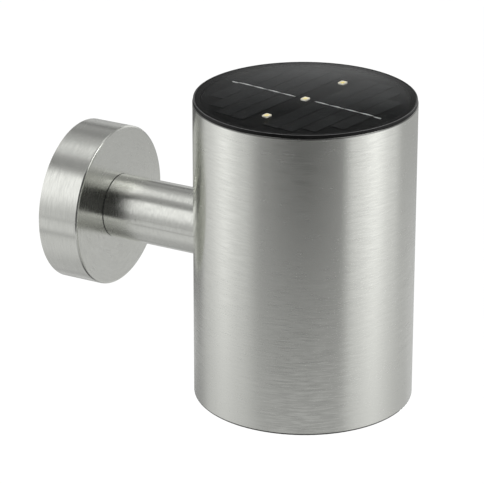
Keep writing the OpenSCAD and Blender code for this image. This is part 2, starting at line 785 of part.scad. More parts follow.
// Rechargeable cell with its raised positive cap
module battery_cell() {
    cap_l = 1;
    cap_r = 3;
    color("seagreen") in_head() translate([0, -battery_offset, battery_z]) rotate([0, 90, 0]) {
        translate([0, 0, -battery_l / 2]) cylinder(r = battery_d / 2, h = battery_l - cap_l);
        translate([0, 0, battery_l / 2 - cap_l - eps]) cylinder(r = cap_r, h = cap_l + eps);
    }
}

// A plate at each end of the cell with a pressed bump that touches it, and a tab for its lead
module battery_contacts() {
    bump_r = 2.4;
    plate_rise = 6.8;
    plate_drop = 8.2;
    bump_l = contact_space - contact_t - thread_clear;
    color("gainsboro") in_head() for (side = [0, 1]) translate([0, -battery_offset, battery_z])
        mirror([side, 0, 0]) {
            translate([contact_x - contact_t, -contact_w / 2, -plate_drop])
                cube([contact_t, contact_w, plate_drop + plate_rise]);
            translate([contact_x - contact_t - bump_l, 0, 0]) rotate([0, 90, 0])
                cylinder(r1 = bump_r / 2, r2 = bump_r, h = bump_l + eps);
        }
}

module control_board() {
    color("darkgreen") in_head(pcb_z) translate([0, pcb_y, 0]) difference() {
        block([pcb_l, pcb_w, pcb_t]);
        for (x = [-1, 1], y = [-1, 1]) translate([x * post_x, y * post_y, -eps])
            cylinder(r = small_screw_d / 2 + hole_clear, h = pcb_t + 2 * eps);
    }
}

// Lead connectors, chips, diodes, resistors, coil and capacitor
module board_parts() {
    color("dimgray") in_head(pcb_top_z) {
        for (x = CONNECTOR_X) translate([x, connector_y, 0]) block(connector_size);
        for (b = BOARD_BLOCKS) translate([b[0][0], b[0][1], 0]) block(b[1]);
        translate([coil_at[0], coil_at[1], 0]) cylinder(r = coil_d / 2, h = coil_h);
        translate([capacitor_at[0], capacitor_at[1], 0]) cylinder(r = capacitor_d / 2, h = capacitor_h);
    }
}

module board_screws() {
    color("gainsboro") in_head(pcb_top_z) for (x = [-1, 1], y = [-1, 1])
        translate([x * post_x, pcb_y + y * post_y, 0]) pan_screw(small_screw_d, small_screw_l);
}

module panel_lead() {
    color("black") in_head(top_z) lead(PANEL_ROUTE, lead_d, [1, 0, 0]);
}

module battery_leads() {
    color("firebrick") in_head(top_z) {
        lead(PLUS_ROUTE, wire_d, [1, 0.6, 0.2]);
        lead(MINUS_ROUTE, wire_d, [-1, 0.6, 0.2]);
    }
}

module downlight_lead() {
    color("black") in_head(top_z) lead(DOWNLIGHT_ROUTE, lead_d, [1, 0, 0]);
}

module switch_lead() {
    color("black") in_head(top_z) lead(SWITCH_ROUTE, lead_d, [1, 0, 0]);
}

// Round aluminium lamp board under the base cover
module down_board() {
    color("whitesmoke") in_head(cover_z - down_board_t) difference() {
        cylinder(r = down_board_r, h = down_board_t);
        for (side = [-1, 1]) translate([side * down_screw_x, 0, -eps])
            cylinder(r = small_screw_d / 2 + hole_clear, h = down_board_t + 2 * eps);
    }
}

module down_leds() {
    color("khaki") in_head(cover_z - down_board_t - led_t) for (i = [0 : down_led_count - 1])
        rotate([0, 0, 360 * (i + 0.5) / down_led_count]) translate([down_led_circle / 2, 0, 0])
            block([led_l, led_w, led_t]);
}

module down_board_screws() {
    color("gainsboro") in_head(cover_z - down_board_t) for (side = [-1, 1])
        translate([side * down_screw_x, 0, 0]) rotate([180, 0, 0]) pan_screw(small_screw_d, small_screw_l);
}

// Frosted cap over the lamp board, with a flange for three screws
module down_lens() {
    color("white", 0.7) in_head(cover_z) difference() {
        rotate([180, 0, 0]) rotate_extrude() difference() {
            union() {
                square([lens_flange_r, lens_flange_t]);
                cup_section(lens_r, lens_depth, lens_corner_r);
            }
            cup_section(lens_r - lens_wall, lens_depth - lens_wall, lens_corner_r - lens_wall);
        }
        for (a = LENS_SCREW_ANGLES) rotate([0, 0, a]) translate([lens_screw_r, 0, -lens_flange_t - eps])
            cylinder(r = small_screw_d / 2 + hole_clear, h = lens_flange_t + 2 * eps);
    }
}

module lens_screws() {
    color("gainsboro") in_head(cover_z - lens_flange_t) for (a = LENS_SCREW_ANGLES)
        rotate([0, 0, a]) translate([lens_screw_r, 0, 0]) rotate([180, 0, 0]) pan_screw(small_screw_d, small_screw_l);
}

// Switch case with its threaded neck, bored for the button
module switch_case() {
    tab_size = [0.5, 2, 3];
    tab_x = 3;
    cavity_z = cover_top_z + switch_step;
    color([0.15, 0.15, 0.15]) in_head() translate([0, switch_y, 0]) {
        difference() {
            union() {
                translate([0, 0, cover_top_z]) cylinder(r = switch_d / 2, h = switch_h);
                translate([0, 0, neck_z]) cylinder(r = neck_d / 2, h = cover_top_z - neck_z + eps);
            }
            translate([0, 0, neck_z - eps])
                cylinder(r = button_d / 2 + button_fit, h = cavity_z - neck_z + 2 * eps);
            translate([0, 0, cavity_z])
                cylinder(r = collar_r + button_fit, h = button_top_z + 2 * button_travel - cavity_z);
        }
        for (side = [-1, 1]) translate([side * tab_x, 0, cover_top_z + switch_h - eps]) block(tab_size);
    }
}

module switch_nut() {
    color("gainsboro") in_head(cover_z - neck_nut_t) translate([0, switch_y, 0])
        hex_nut(neck_nut_af, neck_nut_t, neck_d / 2 + thread_clear);
}

// Push button with a bevelled face and the collar that keeps it in the switch
module switch_button() {
    bevel = 0.4;
    color("firebrick") in_head() translate([0, switch_y, 0]) {
        translate([0, 0, button_z]) cylinder(r1 = button_d / 2 - bevel, r2 = button_d / 2, h = bevel);
        translate([0, 0, button_z + bevel]) cylinder(r = button_d / 2, h = button_top_z - button_z - bevel);
        translate([0, 0, collar_z]) cylinder(r = collar_r, h = collar_t);
    }
}

wall_bracket();
rosette();
rosette_screw();
rosette_washer();
rosette_nut();
arm_gasket();
arm_tube();
wall_end_disc();
body_end_disc();
tie_rod();
saddle_block();
body_washer();
body_nut();
shell();
diffuser_gasket();
diffuser();
diffuser_ring();
head_seal();
head_tray();
solar_glass();
solar_board();
cell_strips();
bus_ribbons();
top_leds();
cover_gasket();
base_cover();
cover_screws();
battery_holder();
battery_cell();
battery_contacts();
control_board();
board_parts();
board_screws();
panel_lead();
battery_leads();
downlight_lead();
switch_lead();
down_board();
down_leds();
down_board_screws();
down_lens();
lens_screws();
switch_case();
switch_nut();
switch_button();
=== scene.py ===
"""Solar wall light: finishes, fine pieces, studio and camera on the frame from the CAD model."""
import json
import math
from collections import namedtuple

import bmesh
import bpy
from mathutils import Matrix, Vector


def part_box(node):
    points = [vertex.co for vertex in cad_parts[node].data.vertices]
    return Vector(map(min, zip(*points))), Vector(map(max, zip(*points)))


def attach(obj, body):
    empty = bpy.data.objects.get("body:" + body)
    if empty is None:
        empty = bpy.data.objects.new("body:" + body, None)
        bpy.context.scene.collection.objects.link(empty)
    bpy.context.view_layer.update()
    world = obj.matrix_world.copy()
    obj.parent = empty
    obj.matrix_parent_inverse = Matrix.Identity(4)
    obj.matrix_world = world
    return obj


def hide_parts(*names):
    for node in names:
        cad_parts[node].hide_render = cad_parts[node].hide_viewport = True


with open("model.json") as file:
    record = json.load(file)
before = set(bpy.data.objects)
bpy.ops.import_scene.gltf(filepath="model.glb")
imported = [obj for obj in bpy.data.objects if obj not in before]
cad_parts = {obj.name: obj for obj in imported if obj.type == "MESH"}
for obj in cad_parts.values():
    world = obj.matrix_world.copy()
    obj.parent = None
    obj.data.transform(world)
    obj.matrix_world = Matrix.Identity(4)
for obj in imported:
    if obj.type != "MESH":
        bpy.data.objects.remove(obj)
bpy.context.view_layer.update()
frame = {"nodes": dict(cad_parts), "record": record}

NODES = frame["nodes"]
MM = 0.001


def lowest(node):
    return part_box(node)[0][2]


def highest(node):
    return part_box(node)[1][2]


def half_width(node):
    low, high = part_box(node)
    return (high[0] - low[0]) / 2


def middle(node):
    low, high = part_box(node)
    return (low + high) / 2


# Where the camera stood and looked, and its lens, fitted to the outlines in the photograph
CAMERA_PLACE = Vector((-1.0535, -0.6789, 0.4815))
CAMERA_AIM = Vector((-0.01373, -0.09361, 0.00064))
CAMERA_LENS_MM = 212.3

# The lamp body's axis, and the turn of the solar head about it, as in the CAD source
BODY_AXIS = Vector((0, middle("shell").y, 0))
HEAD_TURN = math.radians(-8.5)
HEAD_PLACE = Matrix.Translation(BODY_AXIS) @ Matrix.Rotation(HEAD_TURN, 4, "Z")

# Outer radius, foot and top of the shell, and the faces that the fine pieces sit on
SHELL_ENDS = (half_width("shell"), lowest("shell"), highest("shell"))
GLASS_RADIUS = half_width("solar_glass")
GLASS_LOW = lowest("solar_glass")
GLASS_HIGH = highest("solar_glass")
BEZEL_RADIUS = half_width("head_tray")
BEZEL_TOP = highest("head_tray")
BOARD_TOP = highest("solar_board")

# The solar panel seen from above, as in the CAD source, and the heights of what lies on its board
CHIP_SPACING = 28 * MM
CHIP_SIZE = (3.5 * MM, 2.8 * MM, highest("top_leds") - BOARD_TOP)
STRIP_START = 5.4 * MM
STRIP_PITCH = 8 * MM
STRIP_WIDTH = 7.6 * MM
STRIP_THICKNESS = highest("cell_strips") - BOARD_TOP
STRIP_ROWS = 4
STRIPS_END = STRIP_START + STRIP_ROWS * STRIP_PITCH
RIBBON_TAB = 3.4 * MM

FLOOR_Z = -0.6


# Helpers for the scene and its node trees

def facing_lamp(place):
    """The rotation of a camera or a studio lamp that stands at a place and points at the lamp body."""
    return (CAMERA_AIM - Vector(place)).to_track_quat("-Z", "Y").to_euler()


def put_in_scene(name, data):
    """A new object of this data, in the scene."""
    made = bpy.data.objects.new(name, data)
    bpy.context.scene.collection.objects.link(made)
    return made


def make_camera():
    data = bpy.data.cameras.new("photo_camera")
    data.lens = CAMERA_LENS_MM
    data.sensor_width = 36
    data.clip_start = 0.01
    data.clip_end = 60
    camera = put_in_scene("photo_camera", data)
    camera.location = CAMERA_PLACE
    camera.rotation_euler = facing_lamp(CAMERA_PLACE)
    bpy.context.scene.camera = camera


def add(tree, kind, inputs=None, **settings):
    """A new node with its settings, and its inputs set to values or joined to other nodes' outputs."""
    made = tree.nodes.new(kind)
    for name, value in settings.items():
        setattr(made, name, value)
    for name, value in (inputs or {}).items():
        socket = made.inputs[name]
        if isinstance(value, bpy.types.NodeSocket):
            tree.links.new(value, socket)
        else:
            socket.default_value = value
    return made


def calc(tree, operation, *values):
    """The output of a Math node on these values or sockets."""
    return add(tree, "ShaderNodeMath", dict(enumerate(values)), operation=operation).outputs[0]


def blend_values(tree, factor, low, high):
    """The output of a Mix node between two values."""
    inputs = {0: factor, 2: low, 3: high}
    return add(tree, "ShaderNodeMix", inputs, data_type="FLOAT").outputs[0]


def blend_colours(tree, factor, low, high):
    """The output of a Mix node between two colours."""
    inputs = {0: factor, 6: colour(low), 7: colour(high)}
    return add(tree, "ShaderNodeMix", inputs, data_type="RGBA").outputs[2]


def colour(value):
    """A socket as it is, or three numbers as an opaque colour."""
    if isinstance(value, bpy.types.NodeSocket):
        return value
    return (*value, 1)


def grey(level):
    """The three equal numbers of a colour without a tint."""
    return (level, level, level)


def step_up(tree, value, low, high):
    """0 below low, 1 above high and smooth between."""
    inputs = {"Value": value, "From Min": low, "From Max": high}
    return add(tree, "ShaderNodeMapRange", inputs, interpolation_type="SMOOTHSTEP").outputs[0]


def step_down(tree, value, low, high):
    """1 below low, 0 above high and smooth between."""
    return calc(tree, "SUBTRACT", 1, step_up(tree, value, low, high))


def noise(tree, place, scale, detail=2, roughness=0.5):
    inputs = {"Vector": place, "Scale": scale, "Detail": detail, "Roughness": roughness}
    return add(tree, "ShaderNodeTexNoise", inputs).outputs[0]


def bump(tree, height, strength, distance):
    inputs = {"Height": height, "Strength": strength, "Distance": distance}
    return add(tree, "ShaderNodeBump", inputs).outputs[0]


def seen_from(tree, centre, turn, place):
    """The place in axes that are turned and have their origin at centre."""
    return add(tree, "ShaderNodeMapping", {
        "Vector": place,
        "Rotation": turn.to_euler(),
        "Location": -(turn @ centre),
    }).outputs[0]


def seen_from_head(tree, place):
    """The place in the head's own axes, with X along the cell strips."""
    return seen_from(tree, BODY_AXIS, Matrix.Rotation(-HEAD_TURN, 3, "Z"), place)


def along_and_radius(tree, place):
    """Height along Z and distance from it."""
    along = add(tree, "ShaderNodeSeparateXYZ", {0: place}).outputs[2]
    flat = add(tree, "ShaderNodeVectorMath", {0: place, 1: (1, 1, 0)}, operation="MULTIPLY").outputs[0]
    radius = add(tree, "ShaderNodeVectorMath", {0: flat}, operation="LENGTH").outputs["Value"]
    return along, radius


def new_group(name, inputs, outputs):
    """An empty node group and its two end nodes. Inputs are types with values, outputs only types."""
    group = bpy.data.node_groups.new(name, "ShaderNodeTree")
    for label, (kind, value) in inputs.items():
        socket = group.interface.new_socket(label, in_out="INPUT", socket_type=kind)
        if value is not None:
            socket.default_value = value
    for label, kind in outputs.items():
        group.interface.new_socket(label, in_out="OUTPUT", socket_type=kind)
    return group, group.nodes.new("NodeGroupInput"), group.nodes.new("NodeGroupOutput")


def use_group(tree, group, inputs):
    """The outputs of a node group that is placed in a tree."""
    return add(tree, "ShaderNodeGroup", inputs, node_tree=group).outputs


# Effects that more than one finish uses

def make_round_brushing():
    """Fine streaks that run round an axis, on the sides and on the faces of a turned piece."""
    group, given, result = new_group(
        "round_brushing",
        {
            "Place": ("NodeSocketVector", None),
            "Streaks Per Turn": ("NodeSocketFloat", 5.5),
            "Streaks Per Metre": ("NodeSocketFloat", 1350),
        },
        {"Broad": "NodeSocketFloat", "Fine": "NodeSocketFloat"},
    )
    place = given.outputs["Place"]
    x, y, _ = add(group, "ShaderNodeSeparateXYZ", {0: place}).outputs
    along, distance = along_and_radius(group, place)
    radius = calc(group, "MAXIMUM", distance, 0.1 * MM)
    across = calc(group, "ADD", radius, along)
    # For each output: its shares of the given streaks round the axis and across them, and its detail
    for output, round_share, across_share, detail in (("Broad", 1, 1, 2), ("Fine", 1.4, 2.1, 1)):
        turns = calc(group, "MULTIPLY", given.outputs["Streaks Per Turn"], round_share)
        lines = calc(group, "MULTIPLY", given.outputs["Streaks Per Metre"], across_share)
        streak_place = add(group, "ShaderNodeCombineXYZ", {
            0: calc(group, "MULTIPLY", calc(group, "DIVIDE", x, radius), turns),
            1: calc(group, "MULTIPLY", calc(group, "DIVIDE", y, radius), turns),
            2: calc(group, "MULTIPLY", across, lines),
        }).outputs[0]
        streaks = noise(group, streak_place, scale=1, detail=detail, roughness=0.6)
        group.links.new(streaks, result.inputs[output])
    return group


def make_moulded_grain():
    """The fine spark texture of moulded plastic, and slow patches of gloss."""
    group, given, result = new_group(
        "moulded_grain",
        {"Place": ("NodeSocketVector", None), "Grains Per Metre": ("NodeSocketFloat", 4000)},
        {"Grain": "NodeSocketFloat", "Patches": "NodeSocketFloat"},
    )
    place = given.outputs["Place"]
    grain = noise(group, place, scale=given.outputs["Grains Per Metre"], roughness=0.6)
    patches = noise(group, place, scale=60, detail=3, roughness=0.55)
    group.links.new(grain, result.inputs["Grain"])
    group.links.new(step_up(group, patches, 0.35, 0.65), result.inputs["Patches"])
    return group


def make_plated_tone():
    """The uneven tone and fine pitting of plated metal."""
    group, given, result = new_group(
        "plated_tone",
        {"Place": ("NodeSocketVector", None)},
        {"Tone": "NodeSocketFloat", "Pits": "NodeSocketFloat"},
    )
    place = given.outputs["Place"]
    tone = noise(group, place, scale=180, detail=3, roughness=0.6)
    pits = noise(group, place, scale=2600, roughness=0.55)
    group.links.new(step_up(group, tone, 0.3, 0.7), result.inputs["Tone"])
    group.links.new(pits, result.inputs["Pits"])
    return group


ROUND_BRUSHING = make_round_brushing()
MOULDED_GRAIN = make_moulded_grain()
PLATED_TONE = make_plated_tone()


# Finishes, each kept here under its name by new_material
MATERIALS = {}


def new_material(name):
    """An empty material in MATERIALS. Gives its tree, its Principled shader and the place on the piece."""
    material = bpy.data.materials.new(name)
    material.use_nodes = True
    MATERIALS[name] = material
    tree = material.node_tree
    shader = tree.nodes["Principled BSDF"]
    place = add(tree, "ShaderNodeTexCoord").outputs["Object"]
    return tree, shader, place


def join(tree, shader, **outputs):
    """Joins sockets to the shader's inputs: an underscore in a name stands for a space."""
    for name, socket in outputs.items():
        tree.links.new(socket, shader.inputs[name.replace("_", " ")])


# The two tones that the streaks of brushed stainless steel blend, and the tone of the painted shade on its
# rims
STEEL_DARK = (0.76, 0.767, 0.726)
STEEL_LIGHT = (0.815, 0.823, 0.779)
STEEL_PAINTED_SHADE = (0.12, 0.12, 0.115)

# The share of the fine streaks among the broad ones, the roughness of the two tones, and what is
# added to it in slow patches that hands have touched
FINE_STREAK_SHARE = 0.35
STEEL_ROUGHNESS = (0.28, 0.18)
HANDLED_ROUGHNESS = 0.02

# How far the painted shade on a rim reaches in full, and where it is gone: up from the foot, in from the
# outer face and down from the top edge; and how dark the painted shade on the top edge is
FOOT_RIM_UP = (0.75 * MM, 1.05 * MM)
FOOT_RIM_IN = (0.9 * MM, 1.1 * MM)
TOP_EDGE_DOWN = (0.3 * MM, 0.9 * MM)
TOP_EDGE_SHADE_STRENGTH = 0.8


def painted_rim_shade(tree, place, outer, foot, top):
    """How much painted shade darkens the steel on the foot's outer rim and on the top edge of an upright
    cylinder.
    """
    along, radius = along_and_radius(tree, place)
    full, gone = FOOT_RIM_UP
    near_foot = step_down(tree, along, foot + full, foot + gone)
    full, gone = FOOT_RIM_IN
    near_outside = step_up(tree, radius, outer - gone, outer - full)
    full, gone = TOP_EDGE_DOWN
    near_top = step_up(tree, along, top - gone, top - full)
    foot_rim = calc(tree, "MULTIPLY", near_foot, near_outside)
    top_edge = calc(tree, "MULTIPLY", near_top, TOP_EDGE_SHADE_STRENGTH)
    return calc(tree, "MAXIMUM", foot_rim, top_edge)


def brushed_steel(name, axis, centre, ends=None):
    """Stainless steel brushed round an axis, Y or Z, through centre.

    Ends gives the outer radius, foot and top of a cylinder whose foot rim and top edge are darkened with
    painted shade.
    """
    tree, shader, place = new_material(name)
    turn = Matrix.Rotation(math.radians(90), 3, "X") if axis == "Y" else Matrix.Identity(3)
    own = seen_from(tree, centre, turn, place)
    streaks = use_group(tree, ROUND_BRUSHING, {"Place": own})
    mixed = blend_values(tree, FINE_STREAK_SHARE, streaks["Broad"], streaks["Fine"])
    tone = step_up(tree, mixed, 0.25, 0.75)
    base = blend_colours(tree, tone, STEEL_DARK, STEEL_LIGHT)
    # Painted shade darkens the shell's foot rim and its top edge
    if ends is not None:
        base = blend_colours(tree, painted_rim_shade(tree, own, *ends), base, STEEL_PAINTED_SHADE)
    clean = blend_values(tree, tone, *STEEL_ROUGHNESS)
    handled = step_up(tree, noise(tree, place, scale=25, detail=3), 0.4, 0.75)
    roughness = calc(tree, "MULTIPLY_ADD", handled, HANDLED_ROUGHNESS, clean)
    join(
        tree, shader,
        Base_Color=base,
        Roughness=roughness,
        Normal=bump(tree, mixed, strength=0.25, distance=0.02 * MM),
        Tangent=add(tree, "ShaderNodeTangent", direction_type="RADIAL", axis=axis).outputs[0],
    )
    shader.inputs["Metallic"].default_value = 1
    shader.inputs["Anisotropic"].default_value = 0.75
    shader.inputs["Anisotropic Rotation"].default_value = 0.25


def plated_metal(name, dark, light, roughness, metallic=1):
    """Zinc, nickel or tin plate with an uneven tone."""
    tree, shader, place = new_material(name)
    plate = use_group(tree, PLATED_TONE, {"Place": place})
    join(
        tree, shader,
        Base_Color=blend_colours(tree, plate["Tone"], dark, light),
        Roughness=blend_values(tree, plate["Pits"], roughness - 0.06, roughness + 0.08),
        Normal=bump(tree, plate["Pits"], strength=0.2, distance=0.03 * MM),
    )
    shader.inputs["Metallic"].default_value = metallic


def moulded(name, dark, light, roughness, grains=4000, depth=0.03 * MM, gloss=0.5, printed=None):
    """Plastic or rubber with a fine moulded grain: how many grains to the metre, and how deep.

    Printed takes the tree and a place, and gives the mask and the colour of a print on the plastic.
    """
    tree, shader, place = new_material(name)
    grain = use_group(tree, MOULDED_GRAIN, {"Place": place, "Grains Per Metre": grains})
    base = blend_colours(tree, grain["Patches"], dark, light)
    if printed is not None:
        mask, ink = printed(tree, place)
        base = blend_colours(tree, mask, base, ink)
    join(
        tree, shader,
        Base_Color=base,
        Roughness=blend_values(tree, grain["Patches"], roughness - 0.04, roughness + 0.05),
        Normal=bump(tree, grain["Grain"], strength=0.5, distance=depth),
    )
    shader.inputs["Specular IOR Level"].default_value = gloss


# How far the edges of the print on the head's shelf fade
PRINT_FADE = 0.05 * MM


def shelf_print(tree, place):
    """The paler print on the shelf that carries the glass."""
    height, radius = along_and_radius(tree, seen_from_head(tree, place))
    above = step_up(tree, height, GLASS_LOW - 2 * PRINT_FADE, GLASS_LOW - PRINT_FADE)
    within = step_down(tree, radius, GLASS_RADIUS, GLASS_RADIUS + PRINT_FADE)
    return calc(tree, "MULTIPLY", above, within), grey(0.018)


# Cells and board are bonded under the glass, which leaves them little gloss of their own
BONDED_GLOSS = 0.08

# The contact lines on the cells: their spacing, how far from its middle a line starts to fade and is
# gone, and how strongly it covers the silicon
CONTACT_LINE_PITCH = 1.6 * MM
CONTACT_LINE_EDGE = (0.03 * MM, 0.09 * MM)
CONTACT_LINE_COVER = 0.35


def solar_cell():
    """Dark silicon with thin printed contact lines across each strip."""
    tree, shader, place = new_material("solar_cells")
    along = add(tree, "ShaderNodeSeparateXYZ", {0: seen_from_head(tree, place)}).outputs[0]
    from_line = calc(tree, "PINGPONG", along, CONTACT_LINE_PITCH / 2)
    line = step_down(tree, from_line, *CONTACT_LINE_EDGE)
    cover = calc(tree, "MULTIPLY", line, CONTACT_LINE_COVER)
    crystal = noise(tree, place, scale=140, detail=3, roughness=0.6)
    silicon = blend_colours(tree, crystal, (0.0075, 0.0075, 0.0077), (0.012, 0.012, 0.0123))
    join(
        tree, shader,
        Base_Color=blend_colours(tree, cover, silicon, (0.12, 0.12, 0.125)),
        Roughness=blend_values(tree, crystal, 0.34, 0.48),
        Normal=bump(tree, line, strength=0.3, distance=0.02 * MM),
    )
    shader.inputs["Specular IOR Level"].default_value = BONDED_GLOSS


def clear_glass():
    """The panel's cover glass, with a faint film on it."""
    tree, shader, place = new_material("panel_glass")
    film = step_up(tree, noise(tree, place, scale=45, detail=4, roughness=0.6), 0.45, 0.8)
    join(tree, shader, Roughness=blend_values(tree, film, 0.015, 0.05))
    shader.inputs["Base Color"].default_value = colour((0.96, 0.98, 0.975))
    shader.inputs["Transmission Weight"].default_value = 1
    shader.inputs["IOR"].default_value = 1.45


def circuit_board(name, mask, track):
    """Solder mask over fine tracks."""
    tree, shader, place = new_material(name)
    own = seen_from_head(tree, place)
    tracks = add(tree, "ShaderNodeTexBrick", {
        "Vector": own,
        "Scale": 240,
        "Mortar Size": 0.05,
        "Mortar Smooth": 0.3,
        "Brick Width": 0.9,
        "Row Height": 0.35,
    }).outputs["Fac"]
    weave = noise(tree, own, scale=900)
    relief = calc(tree, "MULTIPLY_ADD", weave, 0.3, tracks)
    join(
        tree, shader,
        Base_Color=blend_colours(tree, tracks, mask, track),
        Roughness=blend_values(tree, weave, 0.3, 0.42),
        Normal=bump(tree, relief, strength=0.3, distance=0.03 * MM),
    )


def make_materials():
    """Every finish of the lamp, in MATERIALS under its name."""
    brushed_steel("steel_upright", "Z", BODY_AXIS, SHELL_ENDS)
    brushed_steel("steel_towards_wall", "Y", Vector((0, 0, 0)))
    plated_metal("zinc_hardware", (0.52, 0.53, 0.55), (0.66, 0.66, 0.65), 0.34)
    plated_metal("nickel_contact", (0.6, 0.58, 0.54), (0.72, 0.7, 0.66), 0.25)
    plated_metal("silver_ribbon", grey(0.8), (0.94, 0.94, 0.93), 0.42, metallic=0.5)
    plated_metal("solder", grey(0.66), (0.84, 0.84, 0.83), 0.3, metallic=0.6)
    plated_metal("bright_bead", grey(0.15), grey(0.2), 0.4, metallic=0.4)
    moulded("black_housing", grey(0.012), grey(0.02), 0.36, grains=3000, depth=0.02 * MM)
    moulded(
        "bezel_black", grey(0.003), grey(0.006), 0.3,
        grains=3000, depth=0.01 * MM, gloss=0.2, printed=shelf_print,
    )
    moulded("gloss_black", grey(0.005), grey(0.009), 0.16, grains=1500, depth=0.005 * MM)
    moulded("black_rubber", grey(0.012), grey(0.022), 0.68, grains=2500)
    moulded("black_lead", grey(0.015), grey(0.027), 0.5, grains=3500)
    moulded("red_lead", (0.33, 0.015, 0.012), (0.45, 0.03, 0.02), 0.45, grains=3500)
    moulded("button_red", (0.42, 0.02, 0.015), (0.52, 0.035, 0.025), 0.35, grains=3500)
    moulded("opal_plastic", (0.86, 0.86, 0.84), (0.875, 0.875, 0.855), 0.4, grains=3000, depth=0.02 * MM)
    moulded("battery_sleeve", (0.02, 0.16, 0.23), (0.035, 0.22, 0.3), 0.28, grains=900, depth=0.02 * MM)
    moulded("board_components", (0.022, 0.022, 0.024), (0.04, 0.04, 0.042), 0.5, grains=5000)
    moulded(
        "panel_board", grey(0.006), grey(0.009), 0.5,
        grains=1500, depth=0.01 * MM, gloss=BONDED_GLOSS,
    )
    moulded("chip_frames", (0.93, 0.87, 0.72), (0.97, 0.92, 0.79), 0.4, grains=6000, depth=0.01 * MM)
    moulded("chip_phosphor", (0.93, 0.76, 0.22), (0.98, 0.84, 0.34), 0.45, grains=9000, depth=0.02 * MM)
    moulded("lamp_chips", (0.8, 0.78, 0.72), (0.88, 0.86, 0.8), 0.35, grains=6000, depth=0.01 * MM)
    circuit_board("green_board", (0.012, 0.11, 0.045), (0.03, 0.19, 0.08))
    circuit_board("white_board", (0.82, 0.82, 0.81), (0.7, 0.7, 0.69))
    solar_cell()
    clear_glass()


# Nodes whose finish isn't the one that is named after their slot
NODE_FINISHES = {
    "shell": "steel_upright",
    "rosette": "steel_towards_wall",
    "arm_tube": "steel_towards_wall",
    "head_tray": "bezel_black",
}


def dress_nodes():
    """Gives every CAD node the finish of its slot in the record, and lets light through the glass."""
    NODES["solar_glass"].visible_shadow = False
    NODES["solar_glass"].visible_diffuse = False
    for part in frame["record"]["subparts"]:
        name, slot = part["node"], part["material_slot"]
        mesh = NODES[name].data
        mesh.materials.clear()
        mesh.materials.append(MATERIALS[NODE_FINISHES.get(name, slot)])


# Fine pieces of the solar panel, whose edges stay sharp where they turn by more than this
SHARP_EDGE = math.radians(38)


def mesh_of(name, bm):
    """A bmesh as a mesh. The bmesh is freed."""
    mesh = bpy.data.meshes.new(name)
    bm.to_mesh(mesh)
    bm.free()
    return mesh


def piece(name, bm, finish, body, place):
    """Turns a bmesh into a piece of the lamp: set in its place, dressed, and riding on its body."""
    bm.transform(place)
    bmesh.ops.recalc_face_normals(bm, faces=bm.faces)
    mesh = mesh_of(name, bm)
    mesh.polygons.foreach_set("use_smooth", [True] * len(mesh.polygons))
    mesh.set_sharp_from_angle(angle=SHARP_EDGE)
    mesh.materials.append(MATERIALS[finish])
    made = put_in_scene(name, mesh)
    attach(made, body)
    return made


def add_block(bm, size, centre, bevel, vertical_only=False):
    """A block with rounded edges. Gives back its highest face."""
    verts = bmesh.ops.create_cube(bm, size=1)["verts"]
    bmesh.ops.scale(bm, vec=size, verts=verts)
    bmesh.ops.translate(bm, vec=centre, verts=verts)
    edges = {edge for vert in verts for edge in vert.link_edges}
    if vertical_only:
        edges = {edge for edge in edges if abs(edge.verts[0].co.z - edge.verts[1].co.z) > size[2] / 2}
    made = bmesh.ops.bevel(bm, geom=list(edges), offset=bevel, segments=3, profile=0.5, affect="EDGES")
    faces = {face for vert in made["verts"] for face in vert.link_faces}
    return max(faces, key=lambda face: (face.calc_center_median().z, face.calc_area()))


def add_lathe(bm, profile, centre=(0, 0, 0), stretch=(1, 1), steps=128):
    """Spins a closed profile of radius and height points round Z. Points on the axis close it."""
    rows = []
    for step in range(steps):
        angle = 2 * math.pi * step / steps
        rows.append([
            bm.verts.new((
                centre[0] + radius * math.cos(angle) * stretch[0],
                centre[1] + radius * math.sin(angle) * stretch[1],
                centre[2] + height,
            ))
            for radius, height in profile
        ])
    count = len(profile)
    for step in range(steps):
        near, far = rows[step], rows[(step + 1) % steps]
        for i in range(count):
            j = (i + 1) % count
            bm.faces.new((near[i], near[j], far[j], far[i]))
    bmesh.ops.remove_doubles(bm, verts=[vert for row in rows for vert in row], dist=1e-7)
    bmesh.ops.dissolve_degenerate(bm, edges=bm.edges, dist=1e-8)


def dome(radius, height, points=6):
    """The closed profile of a flat-bottomed dome."""
    angles = [math.pi / 2 * i / points for i in range(points)]
    arc = [(radius * math.cos(angle), height * math.sin(angle)) for angle in angles]
    return [(0, 0), *arc, (0, height)]


def circle_profile(radius, height, thickness, points=12):
    """The closed profile of a ring of round wire, whose own radius is thickness."""
    angles = [2 * math.pi * i / points for i in range(points)]
    return [(radius + thickness * math.cos(a), height + thickness * math.sin(a)) for a in angles]


# The top chips: the frame's corners, its wall, the slope inside the wall and the depth of the recess,
# the rise of the phosphor in it, and the tinned ends, whose middles lie a little inside the short sides
CHIP_CORNER = 0.16 * MM
CHIP_WALL = 0.34 * MM
CHIP_WALL_SLOPE = 0.12 * MM
CHIP_RECESS = 0.26 * MM
PHOSPHOR_RISE = 0.2 * MM
CHIP_END_SIZE = (0.4 * MM, 1.9 * MM, 0.18 * MM)
CHIP_END_INSET = 0.06 * MM
CHIP_END_BEVEL = 0.06 * MM


def chip_frame():
    """A chip's white frame with the sloped recess in its top."""
    bm = bmesh.new()
    top = add_block(bm, CHIP_SIZE, (0, 0, CHIP_SIZE[2] / 2), CHIP_CORNER, vertical_only=True)
    bmesh.ops.inset_region(bm, faces=[top], thickness=CHIP_WALL)
    bmesh.ops.inset_region(bm, faces=[top], thickness=CHIP_WALL_SLOPE, depth=-CHIP_RECESS)
    return bm


